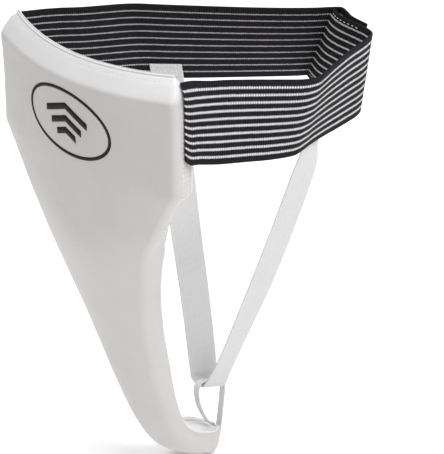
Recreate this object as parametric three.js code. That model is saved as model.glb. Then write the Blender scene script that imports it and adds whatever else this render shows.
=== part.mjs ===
// A groin protector: a padded shield worn in front, an elastic waistband in two wings that
// meet at the back with hook-and-loop, and two elastic leg straps that run from the
// waistband through a tape loop at the tip of the shield.
// Millimetres. +Z is up and the shield faces -Y. Right and left in the names are as seen by
// someone who faces the shield, so right is +X, the wearer's own left.
// The origin is the middle of the straight line between the shield's two upper back corners.

import * as THREE from 'three';

// ---------------------------------------------------------------- driving dimensions

const bandHeight = 60;
const bandThickness = 1.8;
const bandTop = -5;
const bandBottom = bandTop - bandHeight;

const padDepth = 17;
const sideInset = 3;
const creaseRadius = 4;
const coverThickness = 1.2;
const bindingSize = 1.8;

const strapWidth = 25;
const strapWidthAtFold = 19;
const strapThickness = 1.4;
const tapeWidth = 6;
const tapeThickness = 1.2;

const patchThickness = 1.2;
const patchMargin = 5;
const gap = 0.3;

// ---------------------------------------------------------------- small helpers

const vec = (x, y, z) => new THREE.Vector3(x, y, z);

const material = (color, roughness) =>
  new THREE.MeshStandardMaterial({ color, roughness, metalness: 0 });

// A value that runs smoothly through [station, value] points and never overshoots them.
function through(points) {
  const slopes = points.map((point, i) => {
    if (i === 0 || i === points.length - 1) return 0;
    const before = (point[1] - points[i - 1][1]) / (point[0] - points[i - 1][0]);
    const after = (points[i + 1][1] - point[1]) / (points[i + 1][0] - point[0]);
    return before * after <= 0 ? 0 : (2 * before * after) / (before + after);
  });
  return (s) => {
    const last = points.length - 2;
    let k = points.findIndex((point, i) => i <= last && s <= points[i + 1][0]);
    if (k < 0) k = last;
    const width = points[k + 1][0] - points[k][0];
    const t = THREE.MathUtils.clamp((s - points[k][0]) / width, 0, 1);
    const a = points[k][1];
    const b = points[k + 1][1];
    const rise = slopes[k] * width * t * (1 - t) ** 2;
    const fall = slopes[k + 1] * width * t * t * (t - 1);
    return a + (b - a) * t * t * (3 - 2 * t) + rise + fall;
  };
}

// Unit normals of a grid of points, rows by columns.
function normalsOf(grid) {
  return grid.map((row, i) => row.map((point, j) => {
    const up = grid[Math.min(i + 1, grid.length - 1)][j];
    const down = grid[Math.max(i - 1, 0)][j];
    const right = row[Math.min(j + 1, row.length - 1)];
    const left = row[Math.max(j - 1, 0)];
    const along = up.clone().sub(down);
    const across = right.clone().sub(left);
    return along.cross(across).normalize();
  }));
}

function offsetGrid(grid, distance) {
  const normals = normalsOf(grid);
  return grid.map((row, i) => row.map((point, j) =>
    point.clone().addScaledVector(normals[i][j], distance)));
}

// The closed body between two grids of the same size.
function bodyBetween(front, back) {
  const rows = front.length;
  const columns = front[0].length;
  const points = [...front.flat(), ...back.flat()];
  const at = (side, i, j) => side * rows * columns + i * columns + j;
  const index = [];
  const quad = (a, b, c, d) => index.push(a, b, c, a, c, d);
  for (let i = 0; i < rows - 1; i += 1) {
    for (let j = 0; j < columns - 1; j += 1) {
      quad(at(0, i, j), at(0, i + 1, j), at(0, i + 1, j + 1), at(0, i, j + 1));
      quad(at(1, i, j), at(1, i, j + 1), at(1, i + 1, j + 1), at(1, i + 1, j));
    }
    quad(at(0, i, 0), at(1, i, 0), at(1, i + 1, 0), at(0, i + 1, 0));
    const j = columns - 1;
    quad(at(0, i, j), at(0, i + 1, j), at(1, i + 1, j), at(1, i, j));
  }
  for (let j = 0; j < columns - 1; j += 1) {
    quad(at(0, 0, j), at(0, 0, j + 1), at(1, 0, j + 1), at(1, 0, j));
    const i = rows - 1;
    quad(at(0, i, j), at(1, i, j), at(1, i, j + 1), at(0, i, j + 1));
  }
  const sixVolumes = (k) => {
    const a = points[index[k]];
    const b = points[index[k + 1]];
    const c = points[index[k + 2]];
    return a.dot(b.clone().cross(c));
  };
  let volume = 0;
  for (let k = 0; k < index.length; k += 3) volume += sixVolumes(k);
  if (volume < 0) index.reverse();
  const geometry = new THREE.BufferGeometry();
  geometry.setAttribute('position', new THREE.Float32BufferAttribute(
    points.flatMap((point) => point.toArray()), 3));
  geometry.setIndex(index);
  geometry.computeVertexNormals();
  return geometry;
}

// A sheet of the given thickness centred on a grid.
const sheet = (grid, thickness) =>
  bodyBetween(offsetGrid(grid, thickness / 2), offsetGrid(grid, -thickness / 2));

function spaced(count, from, to) {
  return Array.from({ length: count + 1 }, (_, i) => from + ((to - from) * i) / count);
}

// ---------------------------------------------------------------- the shield's shape

// The line where the front turns into the side wall, as [y, z], from the top to the tip.
const creaseLine = new THREE.CatmullRomCurve3([
  [-10, 0], [-10, -50], [-10, -110], [-8, -146], [2.5, -193], [20, -253], [40, -312],
  [50, -333], [59, -346], [72, -356.5], [92, -365], [108, -369.5],
].map(([y, z]) => vec(0, y, z)), false, 'centripetal');
creaseLine.arcLengthDivisions = 800;
const pathLength = creaseLine.getLength();

// Each of these runs along the crease line, in millimetres from the top.
const halfWidth = through([
  [0, 93.8], [5, 99], [12, 102.5], [22, 104], [84, 104], [91, 100], [98, 95], [125, 78.5],
  [146, 66], [170, 57], [195, 48.5], [227, 40], [257, 35], [290, 30.5], [320, 26],
  [345, 22.5], [375, 20.5], [396, 19], [405, 15], [411, 9.5], [pathLength, 2.6],
]);
const depth = through([
  [0, 0.9], [1.5, 4.5], [5, 8.2], [10, 11], [16, 13.2], [30, 16.5], [45, padDepth],
  [pathLength, padDepth],
]);
const rearSetback = through([[0, 0], [5, 1.5], [10, 3], [30, 6.5], [45, 7], [60, 7]]);
const crown = through([
  [0, 17], [60, 19], [110, 16], [170, 11], [240, 8], [345, 8], [375, 5], [pathLength, 1],
]);
const dip = through([[0, 5], [22, 5], [84, 0], [pathLength, 0]]);

const stations = [
  0, 1.5, 5, 10, 16, 24, 40, 62, 80, 86, 91, 96, 104, 114, 125, 140, 155, 172, 190, 210,
  232, 255, 280, 304, 324, 340, 352, 364, 378, 390, 398, 405, 411, pathLength,
];

// Where one station of the shield lies, and which way its face looks.
function frameAt(s) {
  const point = creaseLine.getPointAt(s / pathLength);
  const tangent = creaseLine.getTangentAt(s / pathLength);
  if (s < 60) point.y = rearSetback(s) - depth(s);
  return { s, point, tangent, outward: vec(0, tangent.z, -tangent.y), half: halfWidth(s) };
}

// The point at x, standing rise in front of the crease line.
function place(frame, x, rise) {
  const middle = Math.max(0, 1 - (x / frame.half) ** 2);
  return frame.point.clone()
    .addScaledVector(frame.outward, rise)
    .addScaledVector(frame.tangent, dip(frame.s) * middle)
    .add(vec(x, 0, 0));
}

const faceRise = (frame, x) => crown(frame.s) * (1 - (x / frame.half) ** 2);

// The cover's outline at one station: left rear edge, side, crease, face and back again.
function coverRow(s) {
  const frame = frameAt(s);
  const { half } = frame;
  const radius = Math.min(creaseRadius, depth(s) / 2.2, half / 2.5);
  const corner = half - 0.29 * radius;
  const side = (sign) => [
    place(frame, sign * (half - Math.min(sideInset, half / 4, depth(s) / 5)), -depth(s)),
    place(frame, sign * half, -radius),
    place(frame, sign * corner, faceRise(frame, corner) - 0.29 * radius),
  ];
  const face = spaced(10, radius - half, half - radius)
    .map((x) => place(frame, x, faceRise(frame, x)));
  return [...side(-1), ...face, ...side(1).reverse()];
}

const coverGrid = stations.map(coverRow);

function frontCover() {
  const facesForward = normalsOf(coverGrid)[8][8].y < 0;
  return bodyBetween(coverGrid, offsetGrid(coverGrid, coverThickness * (facesForward ? -1 : 1)));
}

// The columns of a layer's grid, the same for every layer apart from the outermost two.
const columnShares = [0.84, 0.66, 0.44, 0.22];

function layerColumns(half, reach) {
  const inner = columnShares.map((part) => Math.min(part * half, (part * reach) / 0.88));
  return [-reach, ...inner.map((x) => -x), 0, ...inner.reverse(), reach];
}

// A layer inside the cover. The depths of its two faces are functions of the station.
function layer({ front, back, rows, sideGap }) {
  const surface = (below) => rows.map((s) => {
    const frame = frameAt(s);
    return layerColumns(frame.half, frame.half - sideGap)
      .map((x) => place(frame, x, faceRise(frame, x) - below(s)));
  });
  return bodyBetween(surface(front), surface(back));
}

const stationsBetween = (from, to) => stations.filter((s) => s >= from && s <= to);
const share = (part) => (s) => part * depth(s);

const foamCore = () => layer({
  front: () => coverThickness + 2 * gap,
  back: share(0.53),
  rows: stationsBetween(10, 406),
  sideGap: 4.4,
});

const cupShell = () => layer({
  front: share(0.55),
  back: share(0.67),
  rows: stationsBetween(40, 340),
  sideGap: 13,
});

const comfortPad = () => layer({
  front: share(0.69),
  back: share(0.9),
  rows: stationsBetween(16, 398),
  sideGap: 7,
});

const backLining = () => layer({
  front: share(0.922),
  back: share(1),
  rows: [2.5, ...stationsBetween(5, 411)],
  sideGap: 5.2,
});

// The narrow tape that closes the joint of cover and lining along one side.
function edgeBinding(sign) {
  const rows = stationsBetween(24, 411);
  const surface = (behind) => rows.map((s) => {
    const frame = frameAt(s);
    const outer = frame.half - sideInset;
    return [outer, outer - 2 * bindingSize]
      .map((x) => place(frame, sign * x, -depth(s) - behind));
  });
  return bodyBetween(surface(gap), surface(gap + bindingSize));
}

// The bound seam on the shield's top edge.
function topBinding() {
  const frame = frameAt(0);
  const line = spaced(20, -frame.half, frame.half)
    .map((x) => place(frame, x, faceRise(frame, x) - depth(0) / 2));
  const surface = (height) => line.map((point) =>
    [-0.5, 0.5].map((side) => point.clone().add(vec(0, side * bindingSize, height))));
  return bodyBetween(surface(gap), surface(gap + bindingSize));
}

// ---------------------------------------------------------------- the waistband

const bandOffset = 104 + gap + bandThickness / 2;
const seamFront = -2;
const hingeAt = 7.6;

// A strip of band between an upper and a lower route, each a list of [x, y].
function bandGrid(upper, lower, steps) {
  const edge = (route, z) => new THREE.CatmullRomCurve3(
    route.map(([x, y]) => vec(x, y, z)), false, 'centripetal').getPoints(steps);
  const top = edge(upper, bandTop);
  const bottom = edge(lower, bandBottom);
  return top.map((point, i) => [point, bottom[i]]);
}

const rightWing = bandGrid([
  [bandOffset, 8.4], [107.3, 24.5], [118.4, 40.7], [131.9, 57], [144.5, 73.2], [146.2, 83.4],
  [142.2, 93], [133.9, 108.6], [119.5, 138], [108.2, 165.5], [100.5, 177.5], [90.5, 181.7],
  [75, 184.2], [62, 186.2], [52, 189.5], [41, 195.5],
], [
  [bandOffset, 8.4], [112, 22], [120, 38.4], [128.4, 55.5], [132.7, 73], [129, 84.5],
  [125.3, 93.5], [120.1, 109], [112.3, 137], [104.3, 161], [97.8, 170], [88.3, 173.6],
  [72, 176.5], [52, 178.7], [34, 183], [18.5, 190.5],
], 60);

const leftWing = bandGrid([
  [-bandOffset, 8.4], [-105, 22], [-98, 38], [-89, 52], [-80, 68], [-69, 84],
  [-52, 99], [-16, 133], [4, 153], [22, 173], [32, 186], [38.5, 196.5], [43, 201.3],
  [50, 199.2], [64, 192.5], [84, 188.4],
], [
  [-bandOffset, 8.4], [-104, 22], [-96, 38], [-85, 54], [-74, 72], [-61, 92],
  [-42, 113], [-22, 139], [-8, 158], [4, 174], [12, 185.5], [17, 193.5], [21.5, 196.5],
  [29, 194.2], [45, 186.7], [72, 182.3],
], 60);

function bandEnd(sign) {
  const row = (y) => [vec(sign * bandOffset, y, bandTop), vec(sign * bandOffset, y, bandBottom)];
  return sheet([row(seamFront), row(hingeAt - gap)], bandThickness);
}

// A patch of hook or loop fastener on one face of the lapped end of a wing.
function patch(wing, face, firstRow, lastRow) {
  const margin = patchMargin / bandHeight;
  const rows = wing.slice(firstRow, lastRow + 1)
    .map(([top, bottom]) => [top.clone().lerp(bottom, margin), bottom.clone().lerp(top, margin)]);
  const centre = bandThickness / 2 + gap + patchThickness / 2;
  return sheet(offsetGrid(rows, face * centre), patchThickness);
}

// ---------------------------------------------------------------- leg straps and tape loop

// A ribbon along a route of [x, y, z], whose width lies at an angle in plan.
function ribbon(route, angle, width, thickness, steps) {
  const curve = new THREE.CatmullRomCurve3(
    route.map((point) => vec(...point)), false, 'centripetal');
  const grid = curve.getPoints(steps).map((point, i) => {
    const turn = THREE.MathUtils.degToRad(angle(i / steps));
    const half = vec(Math.cos(turn), Math.sin(turn), 0).multiplyScalar(width(i / steps) / 2);
    return [point.clone().sub(half), point.clone().add(half)];
  });
  return sheet(grid, thickness);
}

const strapWidthAlong = through([[0, strapWidth], [0.8, strapWidth], [1, strapWidthAtFold]]);

const legStrapRight = () => ribbon([
  [124.7, 98.5, -50], [123, 98.6, -58], [121.3, 98.8, -66], [117.8, 98.6, -82.5],
  [103.7, 99, -118], [71.7, 100.6, -189], [46.8, 102.7, -238], [24.2, 104.5, -281],
  [11.4, 105.6, -306], [7.2, 106, -314.4], [3.8, 106.1, -318.3], [0.6, 106.1, -319],
], through([[0, 111.5], [0.19, 109.5], [0.31, 92], [0.45, 88], [0.62, 96], [0.8, 94], [1, 84]]), strapWidthAlong, strapThickness, 33);

const legStrapLeft = () => ribbon([
  [-48.2, 102.5, -53], [-47.4, 103.25, -60], [-46.6, 103.9, -67], [-45.8, 104.8, -80],
  [-40.3, 106.2, -125], [-30, 107, -190], [-19, 106.7, -242], [-10, 106.3, -292],
  [-8.2, 106.1, -306.5], [-7.2, 106.1, -314.4], [-3.8, 106.1, -318.3], [-0.6, 106.1, -319],
], through([[0, 48], [0.25, 52], [0.6, 78], [1, 84]]), strapWidthAlong, strapThickness, 33);

const crotchLoop = () => ribbon([
  [0, 104.5, -349], [0, 99.5, -342], [0, 94, -330], [0, 92.5, -319.5], [0, 95.5, -315.4],
  [0, 106, -315], [0, 116.5, -315.6], [0, 119.5, -320], [0, 118.5, -332],
  [0, 116.5, -350], [0, 113.6, -366],
], () => 0, () => tapeWidth, tapeThickness, 30);

// ---------------------------------------------------------------- the object

const vinyl = material(0xdedede, 0.45);
const foam = material(0xe8e4d8, 0.9);
const plate = material(0xf0f0ee, 0.35);
const lining = material(0xe4e4e2, 0.8);
const tape = material(0xdcdcdc, 0.7);
const elastic = material(0x201f21, 0.85);
const whiteElastic = material(0xe2e1e0, 0.8);
const fastener = material(0x1c1c1e, 0.95);

const group = new THREE.Group();

function add(name, geometry, finish) {
  const mesh = new THREE.Mesh(geometry, finish);
  mesh.name = name;
  group.add(mesh);
}

add('front_cover', frontCover(), vinyl);
add('foam_core', foamCore(), foam);
add('cup_shell', cupShell(), plate);
add('comfort_pad', comfortPad(), foam);
add('back_lining', backLining(), lining);
add('top_binding', topBinding(), tape);
add('edge_binding_right', edgeBinding(1), tape);
add('edge_binding_left', edgeBinding(-1), tape);
add('waistband_end_right', bandEnd(1), elastic);
add('waistband_end_left', bandEnd(-1), elastic);
add('waistband_right', sheet(rightWing, bandThickness), elastic);
add('waistband_left', sheet(leftWing, bandThickness), elastic);
add('hook_patch', patch(rightWing, -1, 46, 57), fastener);
add('loop_patch', patch(leftWing, -1, 53, 59), fastener);
add('leg_strap_right', legStrapRight(), whiteElastic);
add('leg_strap_left', legStrapLeft(), whiteElastic);
add('crotch_loop', crotchLoop(), tape);

export default group;
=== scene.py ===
"""Groin protector: the looks of a padded shield with a striped elastic waistband and two elastic
leg straps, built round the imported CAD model. Shapes are worked out in millimetres."""

import math

import bpy
import numpy as np
from mathutils import Matrix, Vector


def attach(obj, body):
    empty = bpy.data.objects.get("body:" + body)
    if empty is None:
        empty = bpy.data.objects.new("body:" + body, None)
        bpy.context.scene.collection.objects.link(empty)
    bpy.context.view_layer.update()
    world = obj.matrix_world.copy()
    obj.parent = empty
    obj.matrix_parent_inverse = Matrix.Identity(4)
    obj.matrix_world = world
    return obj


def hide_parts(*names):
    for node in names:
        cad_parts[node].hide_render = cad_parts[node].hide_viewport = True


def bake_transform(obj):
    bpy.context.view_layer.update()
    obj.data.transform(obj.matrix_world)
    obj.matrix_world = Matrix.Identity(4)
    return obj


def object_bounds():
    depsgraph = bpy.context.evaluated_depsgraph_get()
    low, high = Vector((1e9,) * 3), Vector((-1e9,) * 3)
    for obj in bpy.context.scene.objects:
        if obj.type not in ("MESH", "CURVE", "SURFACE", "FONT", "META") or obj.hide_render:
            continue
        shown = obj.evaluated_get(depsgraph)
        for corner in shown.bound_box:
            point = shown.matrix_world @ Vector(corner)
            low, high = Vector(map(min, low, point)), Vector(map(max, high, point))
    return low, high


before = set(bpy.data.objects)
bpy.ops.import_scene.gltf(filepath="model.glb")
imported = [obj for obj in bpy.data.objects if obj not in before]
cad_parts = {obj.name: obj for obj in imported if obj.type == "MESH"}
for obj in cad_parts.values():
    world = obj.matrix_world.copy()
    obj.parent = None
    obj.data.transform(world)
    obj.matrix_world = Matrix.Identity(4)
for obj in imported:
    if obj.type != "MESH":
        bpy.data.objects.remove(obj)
cad_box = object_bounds()

MM = 0.001

# ---------- driving dimensions, in mm

BAND_HEIGHT = 60
BAND_THICKNESS = 1.8
BAND_TOP = -5
BAND_BOTTOM = BAND_TOP - BAND_HEIGHT
BAND_OFFSET = 105.2
SEAM_FRONT, SEAM_BACK = -2, 8.4
STRIPES = 10
STRIPE_PITCH = BAND_HEIGHT / 11.08
KNIT_PITCH = 1.65

TOP_HALF_WIDTH = 104.0
TOP_DIP = 5.0
ROLL_END = (16.5, 13.5)
PAD_DEPTH = 17
SIDE_INSET = 3
CREASE_RADIUS = 4
COVER_THICKNESS = 1.2
BINDING = 1.8
LINING_GAP = 1.2
FOAM_SPAN = (10, 404)
PAD_SPAN = (18, 396)
LINING_START, LINING_END = 0.8, 410
LINING_SEAM_START, LINING_SEAM_END = LINING_START + 9, LINING_END - 14
BINDING_START, BINDING_END = 24, 411
LAYER_ROW_SPACING = 3.2
LAYER_COLUMNS = 57
SHOULDER = 60

STRAP_WIDTH = 25
STRAP_WIDTH_AT_FOLD = 19
STRAP_THICKNESS = 1.4
STRAP_RIB_PITCH = STRAP_WIDTH / 14
TAPE_WIDTH = 6.8
TAPE_THICKNESS = 1.2
TAPE_RIB_PITCH = 1.5
PATCH_THICKNESS = 1.2
PATCH_MARGIN = 5

# The layers' faces, as shares of the shield's depth from the front.
FOAM_REAR = 0.53
PAD_FRONT, PAD_REAR = 0.70, 0.89
LINING_FRONT = 0.925

# Each row of stitches: a stitch's length, the space after it and its radius.
STITCHES = {
    "top_edge": (2.1, 1.5, 0.26),
    "side_wall": (2.3, 1.4, 0.26),
    "edge_binding": (2.4, 1.2, 0.28),
    "lining": (2.6, 1.3, 0.26),
    "closure": (3.0, 2.2, 0.3),
    "strap_tack": (1.9, 1.0, 0.24),
}

# ---------- the view, in metres and degrees

CAMERA_PLACE = (1.07825, -0.78576, 0.45346)
CAMERA_AZIMUTH = 50
CAMERA_ELEVATION = 24.19
CAMERA_LENS = 159.4
LIGHT_SIZE = 3.0
WORLD_STRENGTH = 0.25
FLOOR_REACH = 6
FLOOR_GAP = 0.002
FLOOR_GLOW = 0.15

# ---------- the lining's cloth simulation

CLOTH_FRAMES = 20
CLOTH_PRESSURE = 5.0
CLOTH_CAP = 0.0028
CLOTH_SETTINGS = {
    "quality": 5,
    "mass": 0.15,
    "tension_stiffness": 12,
    "compression_stiffness": 12,
    "shear_stiffness": 6,
    "bending_stiffness": 1.5,
}


# ---------- camera, light and floor

def link(thing):
    bpy.context.scene.collection.objects.link(thing)


def make_camera():
    azimuth, elevation = math.radians(CAMERA_AZIMUTH), math.radians(CAMERA_ELEVATION)
    back = Vector((
        math.sin(azimuth) * math.cos(elevation),
        -math.cos(azimuth) * math.cos(elevation),
        math.sin(elevation),
    ))
    right = Vector((math.cos(azimuth), math.sin(azimuth), 0))
    turn = Matrix((right, back.cross(right), back)).transposed().to_4x4()
    data = bpy.data.cameras.new("camera")
    data.sensor_fit = "HORIZONTAL"
    data.sensor_width = 36
    data.lens = CAMERA_LENS
    camera = bpy.data.objects.new("camera", data)
    camera.matrix_world = Matrix.Translation(CAMERA_PLACE) @ turn
    link(camera)
    bpy.context.scene.camera = camera


def make_light(name, target, away, watts):
    """A soft light that stands away from its target and looks at it."""
    data = bpy.data.lights.new(name, "AREA")
    data.size = LIGHT_SIZE
    data.energy = watts
    light = bpy.data.objects.new(name, data)
    place = target + Vector(away)
    light.location = place
    light.rotation_euler = (target - place).to_track_quat("-Z", "Y").to_euler()
    link(light)


def make_stage():
    world = bpy.data.worlds.new("studio")
    bpy.context.scene.world = world
    world.use_nodes = True
    background = world.node_tree.nodes["Background"]
    background.inputs["Color"].default_value = (1, 1, 1, 1)
    background.inputs["Strength"].default_value = WORLD_STRENGTH
    middle = (cad_box[0] + cad_box[1]) / 2
    make_light("key", middle, away=(2.9, 0.1, 4.9), watts=305)
    make_light("fill", middle, away=(-1.9, -0.3, 5.2), watts=155)
    mesh = bpy.data.meshes.new("floor")
    turns = ((-1, -1), (1, -1), (1, 1), (-1, 1))
    corners = [(FLOOR_REACH * x, FLOOR_REACH * y, 0) for x, y in turns]
    mesh.from_pydata(corners, [], [(0, 1, 2, 3)])
    floor = bpy.data.objects.new("floor", mesh)
    floor.location.z = cad_box[0].z - FLOOR_GAP
    link(floor)
    plain = bpy.data.materials.new("floor_white")
    plain.use_nodes = True
    shader = plain.node_tree.nodes["Principled BSDF"]
    for key, value in (("Base Color", (0.98, 0.98, 0.98, 1)), ("Roughness", 0.9),
                       ("Emission Color", (1, 1, 1, 1)), ("Emission Strength", FLOOR_GLOW)):
        shader.inputs[key].default_value = value
    mesh.materials.append(plain)
    bpy.context.scene.view_settings.view_transform = "Standard"


# ---------- material building blocks

class Nodes:
    """A short way to write a node tree: each method adds one node and returns its output."""

    def __init__(self, name):
        self.material = bpy.data.materials.new(name)
        self.material.use_nodes = True
        self.tree = self.material.node_tree
        self.shader = self.tree.nodes["Principled BSDF"]

    def put(self, value, socket):
        if isinstance(value, bpy.types.NodeSocket):
            self.tree.links.new(value, socket)
        elif isinstance(value, tuple):
            short = len(value) == 3 and socket.type == "RGBA"
            socket.default_value = (*value, 1) if short else value
        else:
            socket.default_value = value

    def add(self, kind, inputs=(), out=0, **settings):
        node = self.tree.nodes.new(kind)
        for key, value in settings.items():
            setattr(node, key, value)
        for key, value in dict(inputs).items():
            self.put(value, node.inputs[key])
        return node.outputs[out]

    def math(self, operation, *values):
        return self.add("ShaderNodeMath", dict(enumerate(values)), operation=operation)

    def mix(self, share, a, b, **settings):
        inputs = {0: share, 6: a, 7: b}
        return self.add("ShaderNodeMix", inputs, out=2, data_type="RGBA", **settings)

    def uv(self):
        """The piece's own map: along it and across it, in millimetres."""
        both = self.add("ShaderNodeSeparateXYZ", {0: self.add("ShaderNodeTexCoord", out=2)})
        across = both.node.outputs[1]
        return self.math("MULTIPLY", both, 1000), self.math("MULTIPLY", across, 1000)

    def place(self, scale=1000):
        """The point in the object's own frame, in millimetres."""
        where = self.add("ShaderNodeTexCoord", out=3)
        return self.add("ShaderNodeVectorMath", {0: where, 3: scale}, operation="SCALE")

    def noise(self, vector, scale, detail=2, roughness=0.5):
        inputs = {"Vector": vector, "Scale": scale, "Detail": detail, "Roughness": roughness}
        return self.add("ShaderNodeTexNoise", inputs)

    def range(self, value, low, high, to_low=0.0, to_high=1.0):
        return self.add("ShaderNodeMapRange", {0: value, 1: low, 2: high, 3: to_low, 4: to_high})

    def spread(self, noise, to_low=0.0, to_high=1.0):
        """A noise, with the span that most of it lies in stretched from to_low to to_high."""
        return self.range(noise, 0.3, 0.7, to_low, to_high)

    def wave(self, value, period):
        """A smooth ridge of height 0 to 1 that repeats every period."""
        turn = self.math("MULTIPLY", value, 2 * math.pi / period)
        return self.math("MULTIPLY_ADD", self.math("SINE", turn), 0.5, 0.5)

    def bump(self, height, distance, strength=1.0, under=None):
        inputs = {"Height": height, "Distance": distance, "Strength": strength}
        if under is not None:
            inputs["Normal"] = under
        return self.add("ShaderNodeBump", inputs)

    def finish(self, colour, roughness, normal, sheen=0.0, specular=0.5):
        for key, value in (("Base Color", colour), ("Roughness", roughness), ("Normal", normal),
                           ("Sheen Weight", sheen), ("Specular IOR Level", specular)):
            self.put(value, self.shader.inputs[key])
        return self.material


def vinyl_material():
    """Grained vinyl, with painted light on the rolled top: its tone is lifted there to stand in for
    the light from above. The lifted band's lower edge bows with the top.
    """
    n = Nodes("vinyl")
    at = n.place()
    cloudy = n.noise(at, 0.018, detail=3)
    mottle = n.noise(at, 0.35, detail=3)
    cells = n.add("ShaderNodeTexVoronoi", {"Vector": at, "Scale": 1.15}, feature="DISTANCE_TO_EDGE")
    pebble = n.range(cells, 0.0, 0.22)
    base = n.mix(n.range(cloudy, 0.35, 0.65), (0.535, 0.519, 0.512), (0.560, 0.548, 0.543))
    scuffed = n.mix(n.range(mottle, 0.58, 0.8, 0, 0.35), base, (0.505, 0.488, 0.479))
    creased = n.mix(n.range(pebble, 0.0, 1.0, 0.10, 0.0), scuffed, (0.42, 0.403, 0.395))
    split = n.add("ShaderNodeSeparateXYZ", {0: at})
    down = n.math("MULTIPLY", split.node.outputs[2], -1.0)
    out = n.math("DIVIDE", split, TOP_HALF_WIDTH)
    bow = n.math("MULTIPLY", n.math("POWER", out, 2.0), TOP_DIP)
    # Painted light: the rolled top's tone is lifted to stand in for the light that falls on it from
    # above.
    painted_top_light_mask = n.range(n.math("ADD", n.math("SUBTRACT", down, TOP_DIP), bow), *ROLL_END)
    painted_top_light = n.mix(1.0, creased, (1.2, 1.215, 1.24), blend_type="MULTIPLY", clamp_result=False)
    tone = n.mix(painted_top_light_mask, creased, painted_top_light)
    rough = n.math("ADD", n.spread(mottle, 0.38, 0.52), n.range(pebble, 0, 1, 0.06, 0))
    grain = n.bump(pebble, 0.00006, 0.55)
    soft = n.bump(n.noise(at, 0.12, detail=3), 0.0004, 0.35, under=grain)
    return n.finish(tone, rough, soft, specular=0.42)


def lining_material():
    """Plain woven cloth with a little fuzz."""
    n = Nodes("lining")
    at = n.place()
    split = n.add("ShaderNodeSeparateXYZ", {0: at})
    across, down = split, split.node.outputs[2]
    warp = n.wave(across, 0.9)
    weft = n.wave(down, 0.9)
    weave = n.math("MAXIMUM", n.math("POWER", warp, 2.0), n.math("POWER", weft, 2.0))
    fuzz = n.noise(at, 0.5, detail=4)
    base = n.mix(n.spread(fuzz), (0.66, 0.655, 0.65), (0.74, 0.738, 0.735))
    tone = n.mix(n.range(weave, 0, 1, 0.25, 0), base, (0.5, 0.5, 0.5))
    normal = n.bump(weave, 0.00012, 0.8)
    return n.finish(tone, n.spread(fuzz, 0.78, 0.92), normal, sheen=0.2, specular=0.2)


def foam_material():
    """Closed-cell foam, mottled, with small darker cells."""
    n = Nodes("foam")
    at = n.place()
    cells = n.add("ShaderNodeTexVoronoi", {"Vector": at, "Scale": 0.9})
    mottle = n.noise(at, 0.08, detail=3)
    base = n.mix(n.spread(mottle), (0.74, 0.70, 0.62), (0.80, 0.77, 0.70))
    tone = n.mix(n.range(cells, 0, 0.6, 0.35, 0), base, (0.55, 0.50, 0.42))
    return n.finish(tone, n.spread(mottle, 0.85, 0.95), n.bump(cells, 0.0003, 0.6), specular=0.2)


def plate_material():
    """Moulded plastic with faint flow marks."""
    n = Nodes("plate")
    at = n.place()
    flow = n.noise(at, 0.03, detail=2)
    fine = n.noise(at, 2.0, detail=2)
    base = n.mix(n.spread(flow), (0.82, 0.82, 0.80), (0.87, 0.87, 0.86))
    return n.finish(base, n.spread(flow, 0.3, 0.42), n.bump(fine, 0.00003, 0.5))


def tape_material(name="tape", light=(0.78, 0.775, 0.77), dark=(0.62, 0.615, 0.61)):
    """Woven tape: a fine herringbone along the piece's own map."""
    n = Nodes(name)
    along, across = n.uv()
    lane = n.math("FRACT", n.math("DIVIDE", across, 1.6))
    slant = n.math("ABSOLUTE", n.math("SUBTRACT", lane, 0.5))
    twill = n.wave(n.math("ADD", along, n.math("MULTIPLY", slant, 1.6)), 0.8)
    fuzz = n.noise(n.place(), 0.6, detail=4)
    base = n.mix(n.spread(fuzz), light, tuple(0.95 * c for c in light))
    tone = n.mix(n.range(twill, 0, 1, 0.4, 0), base, dark)
    return n.finish(tone, n.spread(fuzz, 0.7, 0.88), n.bump(twill, 0.00012, 0.8),
                    sheen=0.15, specular=0.25)


def strap_material():
    """White elastic: ribs along its length, each crossed by fine covering threads."""
    n = Nodes("strap_elastic")
    along, across = n.uv()
    rib = n.wave(across, STRAP_RIB_PITCH)
    lane = n.math("FLOOR", n.math("DIVIDE", across, 1.79))
    wraps = n.wave(n.math("ADD", along, n.math("MULTIPLY", lane, 0.45)), 0.9)
    fuzz = n.noise(n.place(), 0.5, detail=4)
    base = n.mix(n.spread(fuzz), (0.655, 0.648, 0.65), (0.625, 0.618, 0.62))
    valleys = n.mix(n.range(rib, 0, 0.45, 0.25, 0), base, (0.53, 0.525, 0.53))
    tone = n.mix(n.range(wraps, 0, 1, 0.16, 0), valleys, (0.66, 0.66, 0.66))
    height = n.math("MULTIPLY_ADD", wraps, 0.5, rib)
    return n.finish(tone, n.spread(fuzz, 0.72, 0.88), n.bump(height, 0.00012, 0.6),
                    sheen=0.15, specular=0.25)


def stripe_mask(n, along, across, half_width, saw):
    """1 on the waistband's stripes. Their edges run in the small steps of the knitting."""
    lane = n.math("SUBTRACT", n.math("DIVIDE", across, STRIPE_PITCH), 1.03)
    step = n.math("SUBTRACT", n.math("FRACT", n.math("ADD", lane, 0.5)), 0.5)
    away = n.math("MULTIPLY", n.math("ABSOLUTE", step), STRIPE_PITCH)
    beat = n.math("FRACT", n.math("DIVIDE", along, KNIT_PITCH))
    tooth = n.math("ABSOLUTE", n.math("SUBTRACT", beat, 0.5))
    ragged = n.spread(n.noise(n.place(), 0.9, detail=3), -0.22, 0.22)
    edge = n.math("ADD", n.math("MULTIPLY_ADD", tooth, saw, half_width - saw / 4), ragged)
    inside = n.range(n.math("SUBTRACT", away, edge), 0.12, -0.12)
    within = n.math("MULTIPLY", n.math("GREATER_THAN", lane, -0.5),
                    n.math("LESS_THAN", lane, STRIPES - 0.5))
    return n.math("MULTIPLY", inside, within)


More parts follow.
